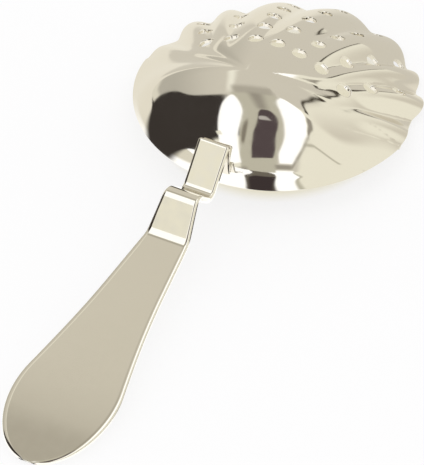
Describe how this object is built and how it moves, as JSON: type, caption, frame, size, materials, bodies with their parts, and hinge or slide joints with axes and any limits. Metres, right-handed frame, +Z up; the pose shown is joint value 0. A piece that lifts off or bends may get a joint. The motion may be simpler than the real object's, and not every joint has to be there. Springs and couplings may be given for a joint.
{
  "type": "julep strainer",
  "caption": "Scallop-shell strainer: a pierced, fluted metal bowl, dome up, brazed to a bent flat handle that hooks on a mixing glass and flares to an oval grip.",
  "frame": {"origin": "on the table under the middle of the overall box, with the strainer at rest on its shell's lip and its grip's end", "axes": "+Z up, +Y towards the shell's fluted lip, the handle runs towards -Y, X across"},
  "size_m": [0.0756, 0.182, 0.028],
  "materials": {
    "shell_metal": "mirror-polished, warm silver",
    "handle_metal": "mirror-polished, warm silver",
    "braze_metal": "polished filler metal"
  },
  "bodies": {
    "root": {"shell_bowl": "shell_metal", "handle": "handle_metal", "braze_seam": "braze_metal"}
  },
  "joints": []
}
